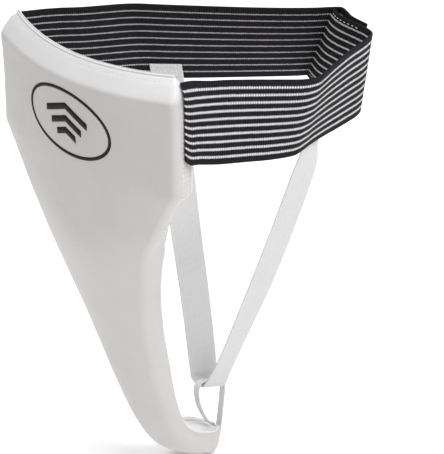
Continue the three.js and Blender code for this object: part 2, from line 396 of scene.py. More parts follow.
def elastic_material(name, half_width, saw, stripe):
    """Black knitted elastic with stripes, which its ribs break up into beads."""
    n = Nodes(name)
    along, across = n.uv()
    mask = stripe_mask(n, along, across, half_width, saw)
    fuzz = n.noise(n.place(), 0.8, detail=4)
    rib = n.wave(along, KNIT_PITCH)
    courses = n.wave(across, 0.77)
    black = n.mix(n.range(fuzz, 0.35, 0.7), (0.0065, 0.006, 0.007), (0.015, 0.014, 0.016))
    ribbed = n.mix(n.range(rib, 0.45, 1, 0, 0.4), black, (0.045, 0.043, 0.047))
    beads = n.range(rib, 0.12, 0.72, 0.85, 0.0)
    white = n.mix(beads, stripe, tuple(0.12 * c for c in stripe))
    tone = n.mix(mask, ribbed, white)
    height = n.math("ADD", n.math("MULTIPLY", rib, 0.6), n.math("MULTIPLY", courses, 0.3))
    raised = n.math("ADD", height, n.math("MULTIPLY", mask, 0.7))
    rough = n.spread(fuzz, 0.78, 0.92)
    return n.finish(tone, rough, n.bump(raised, 0.00025, 0.7), specular=0.1)


def pile_material(name, fine):
    """Hook or loop pile: small dark tufts."""
    n = Nodes(name)
    at = n.place()
    tufts = n.add("ShaderNodeTexVoronoi", {"Vector": at, "Scale": fine})
    fuzz = n.noise(at, 1.5, detail=5)
    base = n.mix(n.range(fuzz, 0.35, 0.7), (0.014, 0.014, 0.015), (0.05, 0.05, 0.052))
    tone = n.mix(n.range(tufts, 0.0, 0.35, 0.6, 0), base, (0.11, 0.11, 0.115))
    return n.finish(tone, 0.92, n.bump(tufts, -0.0005, 0.8), sheen=0.3, specular=0.15)


def thread_material(name, colour):
    """Twisted sewing thread."""
    n = Nodes(name)
    twist = n.noise(n.place(), 2.2, detail=2)
    tone = n.mix(n.range(twist, 0.35, 0.65), colour, tuple(0.8 * c for c in colour))
    return n.finish(tone, n.spread(twist, 0.45, 0.65), n.bump(twist, 0.0001, 0.5))


def print_material():
    """The emblem's ink, slightly cracked where the vinyl flexes."""
    n = Nodes("print")
    at = n.place()
    mottle = n.noise(at, 0.4, detail=4)
    tone = n.mix(n.spread(mottle), (0.008, 0.0065, 0.0065), (0.017, 0.013, 0.013))
    worn = n.mix(n.range(n.noise(at, 1.3, detail=3), 0.66, 0.8, 0, 0.5), tone, (0.09, 0.085, 0.08))
    return n.finish(worn, n.spread(mottle, 0.5, 0.7), n.bump(mottle, 0.00003, 0.4), specular=0.15)


# ---------- curves and grids

def through(points):
    """A value that runs smoothly through (station, value) points and never overshoots them."""
    points = [tuple(map(float, p)) for p in points]
    rates = [(b[1] - a[1]) / (b[0] - a[0]) for a, b in zip(points, points[1:])]
    inner = [2 * p * q / (p + q) if p * q > 0 else 0.0 for p, q in zip(rates, rates[1:])]
    slopes = [0.0, *inner, 0.0]

    def value(s):
        last = len(points) - 2
        k = next((i for i in range(last) if s <= points[i + 1][0]), last)
        width = points[k + 1][0] - points[k][0]
        t = min(max((s - points[k][0]) / width, 0.0), 1.0)
        a, b = points[k][1], points[k + 1][1]
        rise = slopes[k] * width * t * (1 - t) ** 2
        fall = slopes[k + 1] * width * t * t * (t - 1)
        return a + (b - a) * t * t * (3 - 2 * t) + rise + fall

    return value


def curve(points, steps):
    """A centripetal Catmull-Rom curve through the points, its steps shared evenly by the spans."""
    p = np.array(points, float)
    p = np.vstack([2 * p[0] - p[1], p, 2 * p[-1] - p[-2]])
    spans = len(points) - 1
    out = []
    for t in np.linspace(0, spans, steps + 1):
        k = min(int(t), spans - 1)
        w = t - k
        a, b, c, d = p[k:k + 4]
        ab, bc, cd = (max(np.dot(v, v), 1e-12) ** 0.25 for v in (b - a, c - b, d - c))
        start = ((b - a) / ab - (c - a) / (ab + bc) + (c - b) / bc) * bc
        end = ((c - b) / bc - (d - b) / (bc + cd) + (d - c) / cd) * bc
        out.append(b + start * w + (3 * (c - b) - 2 * start - end) * w ** 2
                   + (2 * (b - c) + start + end) * w ** 3)
    return np.array(out)


def lengths(line):
    """The distance along a line to each of its points."""
    return np.concatenate([[0.0], np.cumsum(np.linalg.norm(np.diff(line, axis=0), axis=1))])


def resample(line, distances):
    """The points at these distances along a line."""
    run = lengths(line)
    return np.stack([np.interp(distances, run, line[:, k]) for k in range(line.shape[1])], axis=1)


def normals_of(grid):
    """The direction square to a grid of points, at each of them."""
    along = np.gradient(grid, axis=0)
    across = np.gradient(grid, axis=1)
    n = np.cross(along, across)
    return n / np.maximum(np.linalg.norm(n, axis=2, keepdims=True), 1e-12)


def ease(value, low, high):
    """0 up to low, 1 from high on, and a smooth rise between them."""
    t = np.clip((value - low) / (high - low), 0, 1)
    return t * t * (3 - 2 * t)


def wrinkle(*where):
    """Small smooth ups and downs between -1 and 1, the same on every run."""
    total = 0
    waves = [(1.0, 0.6, 0.3), (1.7, -1.1, 2.1), (-0.8, 2.3, 4.0), (3.1, 1.9, 1.2)]
    for k, (fa, fb, phase) in enumerate(waves):
        total = total + np.sin(fa * where[0] + fb * where[1] + phase) / (k + 1.5)
    return total / 1.9


def build(name, points, faces, materials, uv=None, kinds=None, body=None):
    """A mesh object from points in millimetres."""
    mesh = bpy.data.meshes.new(name)
    mesh.from_pydata((np.asarray(points, float) * MM).tolist(), [], faces)
    for m in materials:
        mesh.materials.append(m)
    if kinds is not None:
        mesh.polygons.foreach_set("material_index", kinds)
    if uv is not None:
        layer = mesh.uv_layers.new(name="map")
        index = np.zeros(len(mesh.loops), int)
        mesh.loops.foreach_get("vertex_index", index)
        layer.data.foreach_set("uv", (np.asarray(uv, float)[index] * MM).ravel())
    mesh.polygons.foreach_set("use_smooth", [True] * len(mesh.polygons))
    mesh.validate()
    mesh.update()
    piece = bpy.data.objects.new(name, mesh)
    link(piece)
    if body:
        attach(piece, body)
    return piece


def between(front, back):
    """Points and faces of the closed body between two grids of the same size."""
    rows, columns = front.shape[:2]
    points = np.vstack([front.reshape(-1, 3), back.reshape(-1, 3)])

    def at(side, i, j):
        return side * rows * columns + i * columns + j

    faces = []
    for i in range(rows - 1):
        for j in range(columns - 1):
            faces.append((at(0, i, j), at(0, i + 1, j), at(0, i + 1, j + 1), at(0, i, j + 1)))
            faces.append((at(1, i, j), at(1, i, j + 1), at(1, i + 1, j + 1), at(1, i + 1, j)))
        faces.append((at(0, i, 0), at(1, i, 0), at(1, i + 1, 0), at(0, i + 1, 0)))
        j = columns - 1
        faces.append((at(0, i, j), at(0, i + 1, j), at(1, i + 1, j), at(1, i, j)))
    for j in range(columns - 1):
        faces.append((at(0, 0, j), at(0, 0, j + 1), at(1, 0, j + 1), at(1, 0, j)))
        i = rows - 1
        faces.append((at(0, i, j), at(1, i, j), at(1, i, j + 1), at(0, i, j + 1)))
    return points, outward(points, faces)


def outward(points, faces):
    """The same faces, turned so that they look out of the body."""
    p = np.asarray(points) - np.mean(points, axis=0)
    a, b, c, d = p[np.array([(*face, face[-1])[:4] for face in faces])].transpose(1, 0, 2)
    volume = np.sum((a + b + c + d) * np.cross(c - a, d - b))
    return faces if volume > 0 else [tuple(reversed(face)) for face in faces]


def strip(first, last, thickness, relief=None, columns=24, across=None):
    """A webbing between two edge lines, with rounded edges. Returns points, faces, uv and kinds:
    kind 0 is the face on the side of its normals and kind 1 the other."""
    width = np.linalg.norm(last - first, axis=1)
    middle = (first + last) / 2
    along = lengths(middle)
    share = (1 - np.cos(np.linspace(0, math.pi, 9))) / 2
    rim = thickness / 2 / width.mean()
    t = np.concatenate([share[:5] * 2 * rim, np.linspace(2 * rim, 1 - 2 * rim, columns)[1:-1],
                        1 - (share[:5] * 2 * rim)[::-1]])
    surface = first[:, None] + (last - first)[:, None] * t[None, :, None]
    normals = normals_of(surface)
    edge = np.minimum(np.minimum(t, 1 - t) / rim, 1)
    half = thickness / 2 * np.sqrt(np.maximum(1 - (1 - edge) ** 2, 0))
    u = np.repeat(along[:, None], len(t), axis=1)
    v = np.repeat(t[None, :], len(along), axis=0) * (across or width.mean())
    lift = relief(u, v) if relief else np.zeros_like(u)
    lift = lift * edge[None, :]
    front = surface + normals * (half[None, :] + lift)[..., None]
    back = surface - normals * (half[None, :] + lift * 0.5)[..., None]
    rows, count = len(along), len(t)
    inner = count - 2
    points = np.vstack([front.reshape(-1, 3), back[:, 1:-1].reshape(-1, 3)])
    uv = np.vstack([np.stack([u, v], axis=2).reshape(-1, 2),
                    np.stack([u, v], axis=2)[:, 1:-1].reshape(-1, 2)])

    def a(i, j):
        return i * count + j

    def b(i, j):
        return a(i, j) if j in (0, count - 1) else rows * count + i * inner + j - 1

    faces, kinds = [], []
    for i in range(rows - 1):
        for j in range(count - 1):
            faces.append((a(i, j), a(i + 1, j), a(i + 1, j + 1), a(i, j + 1)))
            faces.append((b(i, j), b(i, j + 1), b(i + 1, j + 1), b(i + 1, j)))
            kinds += [0, 1]
    for i in (0, rows - 1):
        for j in range(count - 1):
            face = [a(i, j), a(i, j + 1), b(i, j + 1), b(i, j)]
            face = [p for k, p in enumerate(face) if p not in face[:k]]
            faces.append(tuple(face if i == 0 else reversed(face)))
            kinds.append(0)
    return points, outward(points, faces), uv, kinds


def stitches(name, lines, material, body):
    """Threads laid along lines of points. Each is a small stitch, thick in its middle."""
    length, space, radius = STITCHES[name.split("_thread")[0]]
    sides, rings = 6, 5
    points, faces = [], []
    for line, normals in lines:
        run = lengths(line)
        count = max(int((run[-1] - length) // (length + space)) + 1, 1)
        slack = (run[-1] - count * (length + space) + space) / 2
        for k in range(count):
            start = slack + k * (length + space)
            d = np.linspace(start, start + length, rings)
            spots = resample(line, d)
            up = np.stack([np.interp(d, run, normals[:, c]) for c in range(3)], axis=1)
            up /= np.linalg.norm(up, axis=1, keepdims=True)
            forward = np.gradient(spots, axis=0)
            forward /= np.linalg.norm(forward, axis=1, keepdims=True)
            side = np.cross(forward, up)
            bulge = np.sqrt(np.maximum(1 - np.linspace(-0.96, 0.96, rings) ** 2, 0))
            first = len(points)
            for r in range(rings):
                for q in range(sides):
                    turn = 2 * math.pi * q / sides
                    ring = side[r] * math.cos(turn) + up[r] * math.sin(turn)
                    sink = up[r] * radius * (0.9 - 0.9 * bulge[r])
                    points.append(spots[r] + ring * radius * bulge[r] - sink)
            for r in range(rings - 1):
                for q in range(sides):
                    m = (q + 1) % sides
                    faces.append((first + r * sides + q, first + r * sides + m,
                                  first + (r + 1) * sides + m, first + (r + 1) * sides + q))
            faces.append(tuple(first + q for q in reversed(range(sides))))
            faces.append(tuple(first + (rings - 1) * sides + q for q in range(sides)))
    return build(name, points, outward(points, faces), [material], body=body)


# ---------- the shield's shape

# The line of the side creases, seen from the side. A station is a distance along it.
crease = curve([(0, y, z) for y, z in [
    (-10, 0), (-10, -50), (-10, -110), (-8, -146), (2.5, -193), (20, -253), (40, -312),
    (50, -333), (59, -346), (72, -356.5), (92, -365), (108, -369.5),
]], 2200)
PATH = lengths(crease)[-1]

half_width = through([
    (0, 93.8), (5, 99), (12, 102.5), (22, TOP_HALF_WIDTH), (84, TOP_HALF_WIDTH), (91, 100),
    (98, 95), (125, 78.5), (146, 66), (170, 57), (195, 48.5), (227, 40), (257, 35), (290, 30.5),
    (320, 26), (345, 22.5), (375, 20.5), (396, 19), (405, 15), (411, 9.5), (PATH, 2.6),
])
depth = through([
    (0, 0.9), (1, 2.4), (13.6, 14.4), (15.2, 15.5), (18, 16.2), (26, 16.8), (36, PAD_DEPTH),
    (PATH, PAD_DEPTH),
])
rear_setback = through([(0, 0), (5, 1.5), (10, 3), (30, 6.5), (45, 7), (60, 7)])
crown = through([(0, 17), (60, 19), (110, 16), (170, 11), (240, 8), (345, 8), (375, 5), (PATH, 1)])
dip = through([(0, TOP_DIP), (22, TOP_DIP), (84, 0), (PATH, 0)])
rear_inset = through([
    (0, SIDE_INSET), (80, SIDE_INSET), (90, 4.8), (103, 9), (114, 7.3), (126, 4.8), (138, 2.2),
    (150, -0.2), (162, 0.2), (185, 0.7), (219, 0.9), (245, 1.8), (270, 2.5), (305, 4.2),
    (345, 4.5), (PATH, SIDE_INSET),
])


class Station:
    """One cross-section of the shield, at a distance s along its crease line from the top. Above
    the shoulder its place is set out from the rear face, and below that from the crease line."""

    def __init__(self, s):
        self.s = s
        self.point = resample(crease, [s])[0]
        near = resample(crease, [max(s - 0.5, 0), min(s + 0.5, PATH)])
        tangent = near[1] - near[0]
        self.tangent = tangent / np.linalg.norm(tangent)
        self.half, self.depth, self.crown, self.dip = half_width(s), depth(s), crown(s), dip(s)
        if s < SHOULDER:
            self.point[1] = rear_setback(s) - self.depth
        self.outward = np.array([0, self.tangent[2], -self.tangent[1]])
        limit = self.depth / 5 if s < SHOULDER else self.half / 4
        self.inset = min(rear_inset(s), limit)
        plain = self.half - min(SIDE_INSET, limit)
        self.lift = self.rise(self.half - self.inset) - self.rise(plain)

    def rise(self, x):
        """How far the face stands out from the crease line at x."""
        return self.crown * (1 - (x / self.half) ** 2)

    def place(self, x, rise):
        """The point at x to the side that stands out from the crease line by the rise."""
        middle = max(0.0, 1 - (x / self.half) ** 2)
        return (self.point + self.outward * rise + self.tangent * self.dip * middle
                + np.array([x, 0, 0]))

    def section(self):
        """The cover's outline as (x, rise), from the left rear edge round the face to the right."""
        radius = min(CREASE_RADIUS, self.depth / 2.2, self.half / 2.5)
        side = []
        for t in np.linspace(0, 1, 9)[:-1]:
            swell = 0.9 * math.sin(math.pi * t) * float(ease(self.s, 80, 130))
            rear = (1 - t) ** 1.6
            side.append((self.half - self.inset * rear + swell,
                         -self.depth + (self.depth - radius) * t + self.lift * rear))
        for turn in np.linspace(0, math.pi / 2, 8)[:-1]:
            x = self.half - radius + radius * math.cos(turn)
            side.append((x, self.rise(x) - radius + radius * math.sin(turn)))
        flat = self.half - radius
        face = [(x, self.rise(x)) for x in np.linspace(-flat, flat, 45)]
        return [(-x, r) for x, r in side] + face + side[::-1]


def rows_between(start, end, fine=3.0):
    """Stations from start to end, evenly spread and about as far apart as fine."""
    return np.linspace(start, end, max(int((end - start) / fine), 2) + 1)


STATIONS = np.unique(np.concatenate([
    rows_between(0, 12, 0.8), rows_between(12, SHOULDER, 1.6), rows_between(SHOULDER, 385),
    rows_between(385, PATH, 1.0),
]))


def row_at(s):
    """The cover's row nearest to a station."""
    return int(np.argmin(abs(STATIONS - s)))


def sway(x, s):
    """The face's slow waves."""
    return 0.35 * wrinkle(x / 23, s / 31) * ease(s, 15, 60)


def cover_surface():
    """The cover's outer face as a grid of points, with the directions that look out of it."""
    grid = []
    for s in STATIONS:
        station = Station(s)
        grid.append([station.place(x, r) for x, r in station.section()])
    grid = np.array(grid)
    normals = normals_of(grid)
    if normals[row_at(SHOULDER), grid.shape[1] // 2, 1] > 0:
        normals = -normals
    x = grid[..., 0]
    s = np.repeat(STATIONS[:, None], grid.shape[1], axis=1)
    pucker = 0.22 * wrinkle(x / 1.9, s / 3.1) * ease(s, 1, 2.5) * (1 - ease(s, 5, 11))
    hem = 0.12 * ease(s, 1.4, 3.0) * (1 - ease(s, 3.0, 5.0))
    grid = grid + normals * (sway(x, s) + pucker - hem)[..., None]
    return grid, normals


def front_cover(material):
    """The cover's skin, closed at the shield's tip. Returns its outer grid and its normals."""
    grid, normals = cover_surface()
    outer, inner = grid, grid - normals * COVER_THICKNESS
    last_outer, last_inner = outer[-1], inner[-1]
    end = Station(STATIONS[-1])
    middle = end.place(0, -end.depth / 2)
    # Three more rows draw in round the tip.
    for share, past in ((0.86, 0.9), (0.55, 1.5), (0.06, 1.8)):
        row = middle + (last_outer - middle) * share + end.tangent * past
        outer = np.vstack([outer, row[None]])
        row = middle + (last_inner - middle) * share + end.tangent * (past - 1.0)
        inner = np.vstack([inner, row[None]])
    points, faces = between(outer, inner)
    piece = build("front_cover_skin", points, faces, [material], body="shield")
    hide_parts("front_cover")
    return grid, normals


def layer(name, front, back, start, end, side_gap, material, slot, node):
    """A layer inside the cover. front and back are its faces' depths at a station. Returns the
    piece and, for each point of one face, its distances from the side, the top and the tip."""
    spans = rows_between(start, end, LAYER_ROW_SPACING)
    spread = np.sin(np.linspace(-1, 1, LAYER_COLUMNS) * math.pi / 2)

    def surface(below):
        rows = []
        for s in spans:
            station = Station(s)
            reach = station.half - side_gap(station)
            rows.append([station.place(x, station.rise(x) - below(station))
                         for x in reach * spread])
        return np.array(rows)

    points, faces = between(surface(front), surface(back))
    piece = build(name, points, faces, [material], body="shield")
    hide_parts(node)
    reach = np.array([half_width(s) - side_gap(Station(s)) for s in spans])[:, None]
    side = reach * (1 - np.abs(spread))[None, :]
    return piece, side, (spans - start)[:, None] + 0 * side, (end - spans)[:, None] + 0 * side


def seam_inset(s):
    """How far the lining's sewn line lies from its edge."""
    return min(9.0, 0.32 * half_width(s))


def puff(piece, loose):
    """The padding swells the fabric between its seams: a short cloth simulation moves the points
    that no seam holds, by no more than the cap."""
    before = np.array([v.co for v in piece.data.vertices])
    held = piece.vertex_groups.new(name="sewn")
    held.add([int(k) for k in np.flatnonzero(~loose)], 1.0, "REPLACE")
    cloth = piece.modifiers.new("cloth", "CLOTH")
    for key, value in CLOTH_SETTINGS.items():
        setattr(cloth.settings, key, value)
    cloth.settings.vertex_group_mass = held.name
    cloth.settings.use_pressure = True
    cloth.settings.uniform_pressure_force = CLOTH_PRESSURE
    cloth.settings.effector_weights.gravity = 0
    cloth.collision_settings.use_collision = False
    scene = bpy.context.scene
    for number in range(1, CLOTH_FRAMES + 1):
        scene.frame_set(number)
    made = piece.evaluated_get(bpy.context.evaluated_depsgraph_get()).to_mesh()
    after = np.array([v.co for v in made.vertices])
    piece.modifiers.remove(cloth)
    piece.vertex_groups.clear()
    scene.frame_set(1)
    move = after - before
    far = np.linalg.norm(move, axis=1, keepdims=True)
    move = move * (CLOTH_CAP * np.tanh(far / CLOTH_CAP) / np.maximum(far, 1e-9))
    piece.data.vertices.foreach_set("co", (before + move).ravel())
    piece.data.update()


def inner_layers(foam, plate, lining, thread):
    """What lies inside the cover: the foam, the CAD model's plate, the pad and the lining."""
    core = layer("foam_core_block", lambda f: COVER_THICKNESS + 0.8, lambda f: FOAM_REAR * f.depth,
                 *FOAM_SPAN, lambda f: 3.9 + 0.3 * max(f.inset, SIDE_INSET),
                 foam, "foam", "foam_core")[0]
    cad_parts["cup_shell"].data.materials.clear()
    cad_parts["cup_shell"].data.materials.append(plate)
    pad = layer("comfort_pad_block", lambda f: PAD_FRONT * f.depth, lambda f: PAD_REAR * f.depth,
                *PAD_SPAN, lambda f: 4.4 + max(f.inset, SIDE_INSET),
                foam, "foam", "comfort_pad")[0]
    back, side, top, tip = layer(
        "back_lining_panel", lambda f: LINING_FRONT * f.depth, lambda f: f.depth,
        LINING_START, LINING_END, lambda f: f.inset + LINING_GAP, lining, "lining", "back_lining")
    spans = rows_between(LINING_START, LINING_END, LAYER_ROW_SPACING)
    inset = np.array([seam_inset(s) for s in spans])[:, None] + 0 * side
    edge = np.minimum(side, np.minimum(top, tip))
    sewn, rim = 1.3, 1.6
    seam = (np.abs(edge - inset) < sewn) | (edge < rim)
    loose = np.concatenate([np.zeros(side.size, bool), ~seam.ravel()])
    puff(back, loose)
    behind = 0.25
    lines = [edge_line(sign, LINING_SEAM_START, LINING_SEAM_END, None, behind) for sign in (1, -1)]
    station = Station(LINING_SEAM_START)
    reach = station.half - station.inset - LINING_GAP - seam_inset(station.s)
    across = np.array([station.place(x, station.rise(x) - station.depth - behind)
                       for x in np.linspace(-reach, reach, 60)])
    lines.append((across, np.repeat(-station.outward[None], len(across), axis=0)))
    stitches("lining_thread", lines, thread, "shield")


def edge_line(sign, start, end, inset, behind, fine=2.0):
    """A line along one side's rear face, with the direction that looks away from the shield. It
    runs at the inset from the edge, or along the lining's sewn line."""
    line, away = [], []
    for s in rows_between(start, end, fine):
        station = Station(s)
        edge = station.half - station.inset
        x = edge - (LINING_GAP + seam_inset(s) if inset is None else inset)
        rise = station.rise(x) if x < edge - LINING_GAP else station.lift
        line.append(station.place(sign * x, rise - station.depth - behind))
        away.append(-station.outward)
    return np.array(line), np.array(away)


def bindings(material, thread):
    """The tape folded over the joint of cover and lining, along each side and along the top."""
    for sign, side in ((1, "right"), (-1, "left")):
        outer, away = edge_line(sign, BINDING_START, BINDING_END, -0.3, 0.35, 1.5)
        inner, _ = edge_line(sign, BINDING_START, BINDING_END, 2 * BINDING, 0.35, 1.5)
        points, faces, uv, _ = strip(outer, inner, BINDING, columns=8)
        piece = build("edge_binding_tape_" + side, points, faces, [material], uv=uv,
                      body="shield")
        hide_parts("edge_binding_" + side)
        line = outer + (inner - outer) * 0.6 + away * (BINDING / 2 + 0.05)
        stitches("edge_binding_thread_" + side, [(line[3:-4], away[3:-4])], thread, "shield")
    station = Station(0)
    line = np.array([station.place(x, station.rise(x) - station.depth / 2)
                     for x in np.linspace(-station.half, station.half, 120)])
    front = line + np.array([0, -1.65, -0.35])
    back = line + np.array([0, 1.35, 0.25])
    points, faces, uv, _ = strip(front, back, 2.2, columns=6)
    piece = build("top_binding_tape", points, faces, [material], uv=uv, body="shield")
    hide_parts("top_binding")


def shield_stitching(grid, normals, thread):
    """A row of stitches just below the top edge, and rows along and across the side walls."""
    row = row_at(3.0)
    face = slice(17, grid.shape[1] - 17)
    top = (grid[row, face] + normals[row, face] * 0.12, normals[row, face])
    stitches("top_edge_thread", [top], thread, "shield")
    sides = []
    last = grid.shape[1] - 1
    down = slice(row_at(20), row_at(128))
    for column in (3, 6):
        for j in (column, last - column):
            sides.append((grid[down, j] + normals[down, j] * 0.1, normals[down, j]))
    low, deep = row_at(68.5), row_at(75)
    slant = np.linspace(0, 1, 5)[:, None]
    for column in (0, 2, 4, 6):
        for j, step in ((column, 2), (last - column, -2)):
            start, end = grid[low, j], grid[deep, j + step]
            sides.append((start + (end - start) * slant + normals[low, j] * 0.15,
                          np.repeat(normals[low, j][None], len(slant), axis=0)))
    stitches("side_wall_thread", sides, thread, "shield")


def emblem(material):
    """A printed oval with a plain geometric motif in it, lying on the face."""
    centre_x, centre_z = 2.7, -52.9
    half_long, half_short, tilt = 46.4, 23.4, math.radians(3)
    ring, proud, sunk = 2.5, 0.25, 0.3
    runs = np.arange(0.0, 141.0)
    levels = [Station(s) for s in runs]

    def on_face(a, b):
        """The ink's face and its underside, at a to the side and b above the emblem's centre."""
        x = centre_x + a * math.cos(tilt) - b * math.sin(tilt)
        z = centre_z - a * math.sin(tilt) + b * math.cos(tilt)
        drop = [-f.place(x, f.rise(x))[2] for f in levels]
        station = Station(float(np.interp(-z, drop, runs)))
        rise = station.rise(x) + float(sway(x, station.s))
        return station.place(x, rise + proud), station.place(x, rise - sunk)

    def both(rows):
        spots = np.array([[on_face(a, b) for a, b in row] for row in rows])
        return spots[:, :, 0], spots[:, :, 1]

    def patch(name, rows):
        points, faces = between(*both(rows))
        build(name, points, faces, [material], body="shield")

    rows = []
    for turn in np.linspace(0, 2 * math.pi, 97)[:-1]:
        c, s = math.cos(turn), math.sin(turn)
        rows.append([((half_long + d) * c, (half_short + d) * s) for d in (-ring / 2, 0, ring / 2)])
    front, back = both(rows)
    n, m = front.shape[:2]
    points = np.vstack([front.reshape(-1, 3), back.reshape(-1, 3)])
    under, edge = n * m, m - 1
    faces = []
    for i in range(n):
        a, b = i * m, (i + 1) % n * m
        for j in range(edge):
            faces.append((a + j, b + j, b + j + 1, a + j + 1))
            faces.append((under + a + j, under + a + j + 1, under + b + j + 1, under + b + j))
        faces.append((a, under + a, under + b, b))
        faces.append((a + edge, b + edge, under + b + edge, under + a + edge))
    build("emblem_ring", points, outward(points, faces), [material], body="shield")
    longest, point, half_bar = 24, 8.5, 2.4
    for k, (reach, high) in enumerate(((longest, 3.5), (17.5, -3.5), (11, -10.0))):
        chevron = []
        for t in np.linspace(-1, 1, 21):
            b = high + point * (1 - abs(t)) * reach / longest
            chevron.append([(reach * t, b + step) for step in (-half_bar, 0, half_bar)])
        patch("emblem_chevron_%d" % (k + 1), chevron)


# ---------- the waistband

RIGHT_TOP = [
    (BAND_OFFSET, SEAM_BACK), (107.3, 24.5), (118.4, 40.7), (131.9, 57), (144.5, 73.2),
    (146.2, 83.4), (142.2, 93), (133.9, 108.6), (119.5, 138), (108.2, 165.5), (100.5, 177.5),
    (90.5, 181.7), (75, 184.2), (62, 186.2), (52, 189.5), (41, 195.5),
]
RIGHT_BOTTOM = [
    (BAND_OFFSET, SEAM_BACK), (112, 22), (120, 38.4), (128.4, 55.5), (132.7, 73), (129, 84.5),
    (125.3, 93.5), (120.1, 109), (112.3, 137), (104.3, 161), (97.8, 170), (88.3, 173.6),
    (72, 176.5), (52, 178.7), (34, 183), (18.5, 190.5),
]
LEFT_TOP = [
    (-BAND_OFFSET, SEAM_BACK), (-105, 22), (-98, 38), (-89, 52), (-80, 68), (-69, 84), (-52, 99),
    (-16, 133), (4, 153), (22, 173), (32, 186), (38.5, 196.5), (43, 201.3), (50, 199.2),
    (64, 192.5), (84, 188.4),
]
LEFT_BOTTOM = [
    (-BAND_OFFSET, SEAM_BACK), (-104, 22), (-96, 38), (-85, 54), (-74, 72), (-61, 92), (-42, 113),
    (-22, 139), (-8, 158), (4, 174), (12, 185.5), (17, 193.5), (21.5, 196.5), (29, 194.2),
    (45, 186.7), (72, 182.3),
]
ROWS_PER_SPAN = 4
FINE = 5
HOOK_ROWS, LOOP_ROWS, CLOSURE_ROWS = (46, 57), (53, 59), 14


def wing_edges(upper, lower):
    """The wing's upper and lower edges, with FINE rows for each row of the CAD wing."""
    steps = (len(upper) - 1) * ROWS_PER_SPAN * FINE
    top = curve([(x, y, BAND_TOP) for x, y in upper], steps)
    bottom = curve([(x, y, BAND_BOTTOM) for x, y in lower], steps)
    return top, bottom


def sewn_end(sign, edge, low):
    """The edge from the seam on the shield's side. Where it is sewn on, the elastic stands higher
    and follows the shield's shoulder, and its lower corner is rounded off."""
    y = np.linspace(SEAM_FRONT, SEAM_BACK, 27)[:-1]
    start = np.stack([np.full_like(y, sign * BAND_OFFSET), y, np.full_like(y, edge[0, 2])], axis=1)
    line = np.vstack([start, edge])
    run = lengths(line)
    if sign > 0:
        line[:, 2] += (1.9 if low else 2.5) * (1 - ease(run, 0, 30))
    else:
        line[:, 2] -= 1.6 * ease(run, 6, 26) * (1 - ease(run, 60, 115))
    if low:
        line[:, 2] += 4.4 * np.maximum(1 - run / 9, 0) ** 2.5
    return line


def stripe_relief(u, v):
    """The stripes stand a little proud, and the elastic has faint gathers across it."""
    lane = v / STRIPE_PITCH - 1.03
    away = np.abs(lane - np.round(lane)) * STRIPE_PITCH
    on = (np.round(lane) >= 0) & (np.round(lane) < STRIPES)
    ridge = 0.16 * np.where(on, 1 - ease(away, 0.5, 1.15), 0)
    return ridge + 0.05 * np.sin(u * 2 * math.pi / 6.6) + 0.06 * wrinkle(u / 5.0, v / 17)


def waistband_side(side, upper, lower, outer, inner):
    """One side of the waistband with its sewn end. Returns its upper and its lower edge."""
    sign = 1 if side == "right" else -1
    top, bottom = wing_edges(upper, lower)
    edges = sewn_end(sign, top, low=False), sewn_end(sign, bottom, low=True)
    points, faces, uv, kinds = strip(*edges, BAND_THICKNESS, relief=stripe_relief,
                                     columns=112, across=BAND_HEIGHT)
    u, v = uv[:, 0], uv[:, 1]
    fade = (8, 26) if sign > 0 else (3, 13)
    on_shoulder = 1 - ease(u, *fade)
    points[:, 0] -= sign * 5.0 * np.maximum(1 - v / 17, 0) ** 2.7 * on_shoulder
    normal = normals_of(np.stack(edges, axis=1))[60, 0]
    faces_out = normal[0] * sign > 0
    materials = [outer, inner] if faces_out else [inner, outer]
    piece = build("waistband_elastic_" + side, points, faces, materials, uv=uv, kinds=kinds)
    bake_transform(piece)
    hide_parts("waistband_" + side, "waistband_end_" + side)
    return edges


def wing_patch(name, node, body, upper, lower, face, rows, material):
    """A patch of hook or loop fastener on one face of a wing's end."""
    top, bottom = wing_edges(upper, lower)
    first, last = rows[0] * FINE, rows[1] * FINE
    top, bottom = top[first:last + 1], bottom[first:last + 1]
    margin = PATCH_MARGIN / BAND_HEIGHT
    grid = np.stack([top + (bottom - top) * margin, bottom + (top - bottom) * margin], axis=1)
    centre = BAND_THICKNESS / 2 + 0.3 + PATCH_THICKNESS / 2
    grid = grid + face * normals_of(grid) * centre

    def pile(u, v):
        return 0.14 * wrinkle(u / 0.9, v / 0.8)

    points, faces, uv, _ = strip(grid[:, 0], grid[:, 1], PATCH_THICKNESS, relief=pile, columns=60)
    piece = build(name, points, faces, [material], uv=uv, body=body)
    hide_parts(node)


def closure_stitching(edges, thread):
    """The stitches that hold the hook patch, seen on the inner face of the right wing."""
    top, bottom = edges
    first = len(top) - 1 - CLOSURE_ROWS * FINE
    top, bottom = top[first:-4], bottom[first:-4]
    grid = np.stack([top, bottom], axis=1)
    n = -normals_of(grid)[:, 0]
    if n[10, 1] > 0:
        n = -n

    def level(share):
        return top + (bottom - top) * share + n * (BAND_THICKNESS / 2 + 0.1)

    lines = [(level(0.055), n), (level(0.94), n)]
    stitches("closure_thread", lines, thread, "wing_right")


# ---------- leg straps and tape loop

def ribbon_edges(route, angle, width, steps, lean=0):
    """The two edges of a ribbon along a route, whose width lies at an angle in plan. A leaning
    ribbon's last part hangs lower at the back."""
    middle = curve(route, steps)
    share = np.linspace(0, 1, steps + 1)
    turn = np.radians([angle(t) for t in share])
    half = np.array([width(t) for t in share]) / 2
    across = np.stack([np.cos(turn), np.sin(turn), -0.25 * lean * ease(share, 0.6, 0.82)], axis=1)
    across *= half[:, None]
    return middle - across, middle + across


strap_width = through([(0, STRAP_WIDTH), (0.8, STRAP_WIDTH), (1, STRAP_WIDTH_AT_FOLD)])

